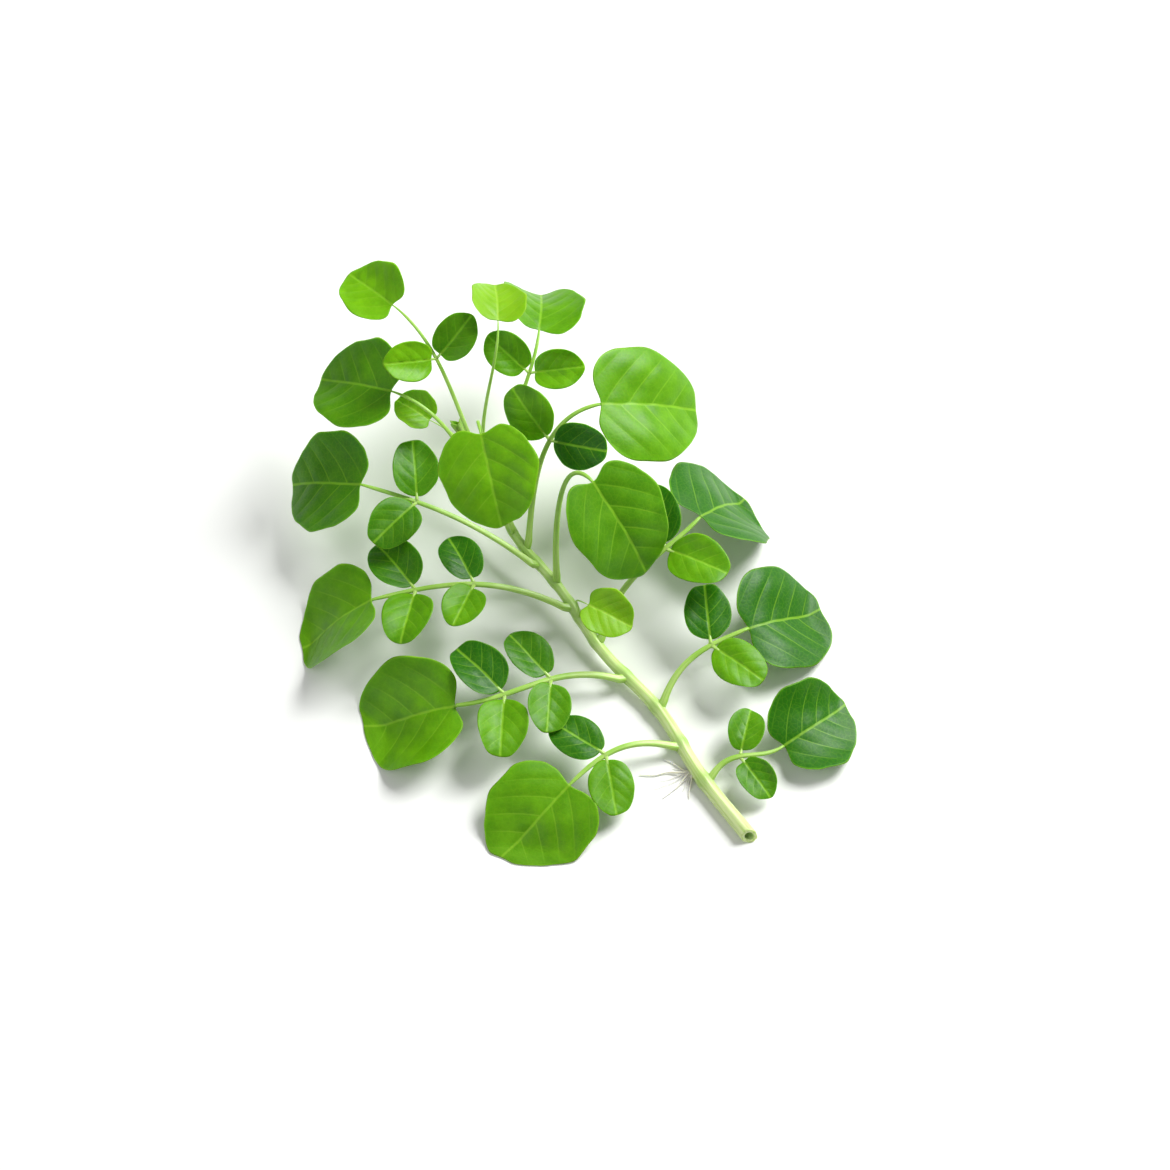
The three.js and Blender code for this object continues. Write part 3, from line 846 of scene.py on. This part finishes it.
    def build(self, number: int, stem: Stem, finishes: "Finishes") -> None:
        """Builds the leaf's pieces, numbered from the cut end, and puts them in place of their solids."""
        route = self.stalk_route(stem)
        skins = finishes.young if self.age is LeafAge.YOUNG else finishes.grown
        blades: list[tuple[float, Blade]] = []
        for pair, (share, length) in enumerate(self.pairs, 1):
            for side, sign in (("left", 1), ("right", -1)):
                blade = self.side_blade(route, share, length, sign)
                blades.append((share, blade))
                piece = make_piece(f"leaf_{number}_{side}_blade_{pair}", blade.patches(), skins)
                hand_over(piece, f"leaf_{number}_{side}_leaflet_{pair}")
        end = self.end_blade(route)
        blades.append((1.0, end))
        piece = make_piece(f"leaf_{number}_end_blade", end.patches(), skins)
        hand_over(piece, f"leaf_{number}_end_leaflet")
        piece = make_piece(f"leaf_{number}_stalk", self.stalk(stem, route, blades), [finishes.stalk])
        hand_over(piece, f"leaf_{number}_rachis")


FRESH, YOUNG = LeafAge.FRESH, LeafAge.YOUNG

LEAVES = [
    Leaf(0.15, (66, -36, 4.5), (24, 23), ((0.42, 11.5),), 0.85, 14, 2, 14, 24, 0.2, 0.1, 8, 6),
    Leaf(0.24, (14, -47, 6), (28, 27), ((0.6, 14.5),), 0.95, 22, 8, -10, 30, 0.18, -0.12, -10, 6),
    Leaf(0.33, (58, -6, 10), (29, 28), ((0.64, 15),), 0.95, -12, 14, 10, 38, 0.24, -0.12, 6, 10),
    Leaf(0.42, (-14, -27, 9), (30, 28), ((0.42, 14), (0.71, 16)), 0.95, -10, 14, -8, 34, 0.2, 0.12, -8, 12),
    Leaf(0.51, (46, 21, 18), (32, 30), ((0.7, 16.5),), 0.95, 4, 28, 6, 40, 0.2, -0.06, 8, 14),
    Leaf(0.57, (18, -3, 17), (13.5, 12), (), 0.5, 30, 0, 16, 20, 0.3, 0.1, 0, 0, YOUNG),
    Leaf(0.6, (-35, 0, 14), (28, 27), ((0.48, 13.5), (0.78, 16)), 0.9, 12, 26, 10, 34, 0.2, 0.12, 12, 12),
    Leaf(0.66, (19, 20, 38), (32, 26), (), 0.9, -96, 30, 6, 46, 0.3, -0.14, -8, 20, FRESH),
    Leaf(0.71, (-38, 29, 21), (27, 26), ((0.7, 15),), 0.85, 0, 20, -18, 32, 0.2, 0.08, -8, 14),
    Leaf(0.75, (21, 42, 38), (34, 30), ((0.64, 15),), 0.85, -38, 16, 16, 36, 0.2, -0.1, 8, 16),
    Leaf(0.79, (-8, 30, 44), (26, 24), (), 0.7, 150, 22, 8, 34, 0.24, -0.14, 8, 16, FRESH),
    Leaf(0.83, (-30, 47, 36), (26, 24), (), 0.7, 14, 12, -20, 28, 0.2, 0.08, 8, 18, FRESH),
    Leaf(0.87, (6, 66, 36), (23, 21), ((0.72, 13),), 0.7, 14, 16, 14, 26, 0.26, 0.14, -12, 16, FRESH),
    Leaf(0.91, (-30, 66, 46), (19, 16), ((0.66, 13),), 0.65, 10, 4, -18, 20, 0.28, 0.12, 8, 20, FRESH),
    Leaf(0.94, (-4, 60, 48), (16, 14), (), 0.55, 16, 6, 10, 22, 0.32, 0.1, 8, 22, YOUNG),
    Leaf(0.97, (-21, 43, 29), (11, 10), (), 0.45, -20, -14, -10, 10, 0.42, 0.1, 0, 26, YOUNG),
]


@dataclass(frozen=True)
class GrowingTip:
    """The bud at the growing tip: a ring of the smallest leaves, folded and starting to open."""

    length: float = 5.6  # its length in millimetres
    leaves: int = 5  # how many leaves it has
    step: float = 144.0  # the turn from each leaf to the next in degrees

    def build(self, stem: Stem, finishes: "Finishes") -> Object:
        """Builds the bud at the stem's tip."""
        along, base = stem.route.along(1.0), stem.route.at(1.0)
        nets: list[Patch] = []
        for i in range(self.leaves):
            # Each leaf stands a little straighter and longer than the one before.
            outward = turned(face_of(along), along, self.step * i)
            heading = unit(along + outward * (0.42 - 0.05 * i))
            length = self.length * (0.72 + 0.07 * i)
            nets += Blade(
                length, length * 0.5, SIDE_OUTLINE, fold=0.7, cup=0.3, bend=-8.0, twist=0.0,
                base=base + outward * 0.6, heading=heading, face=square_to(-outward, heading), tone=0.8,
                thickness=0.24, fineness=18,
            ).patches()
        return make_piece("tip_bud", nets, finishes.young)


@dataclass(frozen=True)
class Rootlets:
    """The tuft of white rootlets that spreads over the surface from the stem's lowest node."""

    at: float = 0.18  # where it grows, as a share of the stem's length
    heading: float = 205.0  # the direction that it spreads in, in degrees
    fan: tuple[float, ...] = (-44, -12, 20, 50)  # how far each rootlet turns from there
    lengths: tuple[float, ...] = (8, 13, 10, 7)  # each rootlet's length in millimetres
    radius: float = 0.3  # a rootlet's radius where it starts
    # the length and radius of each strand that a rootlet parts into, as shares of its own
    strands: tuple[tuple[float, float], ...] = ((1.0, 1.0), (0.62, 0.6), (0.8, 0.45))
    top: float = 1.4  # the height in millimetres where the tuft leaves the stem
    low: float = 0.32  # the height that its strands come down to

    @staticmethod
    def toward(degrees: float) -> Array:
        """Returns the level unit direction at an angle."""
        return np.array([cos(radians(degrees)), sin(radians(degrees)), 0.0])

    def build(self, stem: Stem, finish: Material) -> Object:
        """Builds the tuft under the stem."""
        centre = stem.route.at(self.at)
        start = centre + self.toward(self.heading) * (stem.radius(self.at) * 0.7)
        start[2] = self.top
        nets: list[Patch] = []
        for number, (fan, length) in enumerate(zip(self.fan, self.lengths)):
            for strand, (reach, thick) in enumerate(self.strands):
                turn = self.heading + fan + 13 * (strand - 1) * sin(1 + number)
                knots = [start]
                for step in (0.22, 0.45, 0.7, 1.0):
                    sway = 9 * sin(7 * step + number * 2 + strand)
                    point = start + self.toward(turn + sway * (1 - step)) * length * reach * step
                    point[2] = self.low + (1 - step) ** 3
                    knots.append(point)
                path = Route.spline([tuple(knot) for knot in knots], 12)
                nets.append(Shank(path, tapering(self.radius * thick, 0.65), sides=8, pitch=0.6).patch())
        return make_piece("white_roots", nets, [finish])


# ---------- the whole


@dataclass(frozen=True)
class Finishes:
    """The sprig's materials."""

    grown: list[Material]  # a grown leaf's upper face and underside
    young: list[Material]  # a young leaf's upper face and underside
    stem: Material  # the main stem's skin
    stalk: Material  # the leaf stalks' skin
    root: Material  # the rootlets' skin

    @classmethod
    def mixed(cls) -> "Finishes":
        """Builds every material once."""
        leaves = ([side.material() for side in pair] for pair in (GROWN_SKINS, YOUNG_SKINS))
        return cls(*leaves, *(skin.material() for skin in (STEM_SKIN, STALK_SKIN, ROOT_SKIN)))


@dataclass(frozen=True)
class Sprig:
    """The whole sprig."""

    leaves: list[Leaf]

    def build(self) -> None:
        """Builds every piece in order, from the cut end up."""
        finishes = Finishes.mixed()
        stem = Stem(joints=tuple(leaf.at for leaf in self.leaves))
        hand_over(stem.build(finishes.stem), "main_stem")
        hand_over(Rootlets().build(stem, finishes.root), "rootlets")
        for number, leaf in enumerate(self.leaves, 1):
            leaf.build(number, stem, finishes)
        hand_over(GrowingTip().build(stem, finishes), "growing_tip")


@dataclass(frozen=True)
class Lamp:
    """A square soft lamp."""

    name: str  # what it does
    place: tuple[float, float, float]  # where it stands in metres
    side: float  # its size in metres
    watts: float  # its power

    def build(self, target: Vector) -> None:
        """Builds the lamp, aimed at a point."""
        light = bpy.data.lights.new(self.name, "AREA")
        light.size, light.energy = self.side, self.watts
        lamp = bpy.data.objects.new(self.name, light)
        lamp.location = self.place
        lamp.rotation_euler = (target - Vector(self.place)).to_track_quat("-Z", "Y").to_euler()
        bpy.context.scene.collection.objects.link(lamp)


@dataclass(frozen=True)
class Studio:
    """A white paper floor, soft lamps and the camera."""

    elevation: float = 60.0  # the camera's height above the horizon in degrees
    distance: float = 0.73  # the camera's distance in metres
    lens_mm: float = 92.0  # its focal length, for a 36 mm frame
    # where it aims, from the middle of the object, in metres
    aim: tuple[float, float, float] = (0.004, -0.012, 0.0)
    floor: float = 3.0  # the floor's half side in metres
    sky: float = 0.3  # the light from all round
    lamps: tuple[Lamp, ...] = (
        Lamp("key", (0.55, 0.45, 0.7), 0.5, 15.0),
        Lamp("fill", (-0.7, -0.4, 0.7), 0.8, 2.5),
    )

    def build(self) -> None:
        """Builds the floor, the lamps and the camera."""
        scene = bpy.context.scene
        low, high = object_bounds()
        target = (low + high) / 2 + Vector(self.aim)

        def flat(x: Array, y: Array) -> Placed:
            """Spreads the net over the floor."""
            return np.stack([x, y, 0 * x], axis=-1) * self.floor / MM - SHIFT, {}

        paper = make_piece("paper_floor", [Patch(1, 1, flat)], [PaperFinish().material()])
        paper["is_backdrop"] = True
        for lamp in self.lamps:
            lamp.build(target)

        world = bpy.data.worlds.new("studio")
        world.use_nodes = True
        background = world.node_tree.nodes["Background"]
        background.inputs["Color"].default_value = (1.0, 1.0, 1.0, 1.0)
        background.inputs["Strength"].default_value = self.sky
        scene.world = world

        camera = bpy.data.cameras.new("camera")
        camera.lens, camera.sensor_width = self.lens_mm, 36.0
        camera.clip_start, camera.clip_end = 0.01, 50.0
        stand = bpy.data.objects.new("camera", camera)
        rise = radians(self.elevation)
        back = Vector((0.0, -cos(rise), sin(rise)))
        stand.location = target + back * self.distance
        stand.rotation_euler = (-back).to_track_quat("-Z", "Y").to_euler()
        scene.collection.objects.link(stand)
        scene.camera = stand
        scene.view_settings.view_transform = "Standard"


def main() -> None:
    """Builds the sprig and the studio round it."""
    logging.basicConfig(level=logging.INFO, format="%(message)s")
    Sprig(LEAVES).build()
    Studio().build()
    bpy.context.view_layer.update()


if __name__ == "__main__":
    main()
